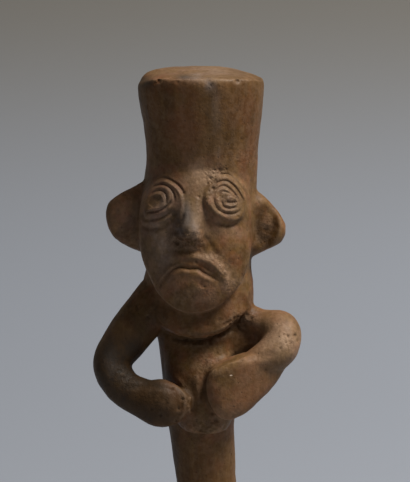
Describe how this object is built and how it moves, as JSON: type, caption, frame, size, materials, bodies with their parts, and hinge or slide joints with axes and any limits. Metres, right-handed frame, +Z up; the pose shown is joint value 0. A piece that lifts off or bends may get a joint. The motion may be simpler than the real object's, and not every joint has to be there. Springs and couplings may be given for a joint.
{
  "type": "whistle figurine",
  "caption": "Hollow fired-clay whistle figurine: a tube on a low foot carries a figure in a tall hat, with spiral eyes, a frowning mouth and its hands on its belly.",
  "frame": {"origin": "on the surface it stands on, under the middle of the figurine's box", "axes": "+Z up the tube to the hat, -Y where the face looks, +X towards the figure's left hand"},
  "size_m": [0.0618, 0.0456, 0.1571],
  "materials": {
    "fired_clay": "burnished by hand, worn and lightly pitted"
  },
  "bodies": {
    "root": {"whistle_figurine": "fired_clay"}
  },
  "joints": []
}
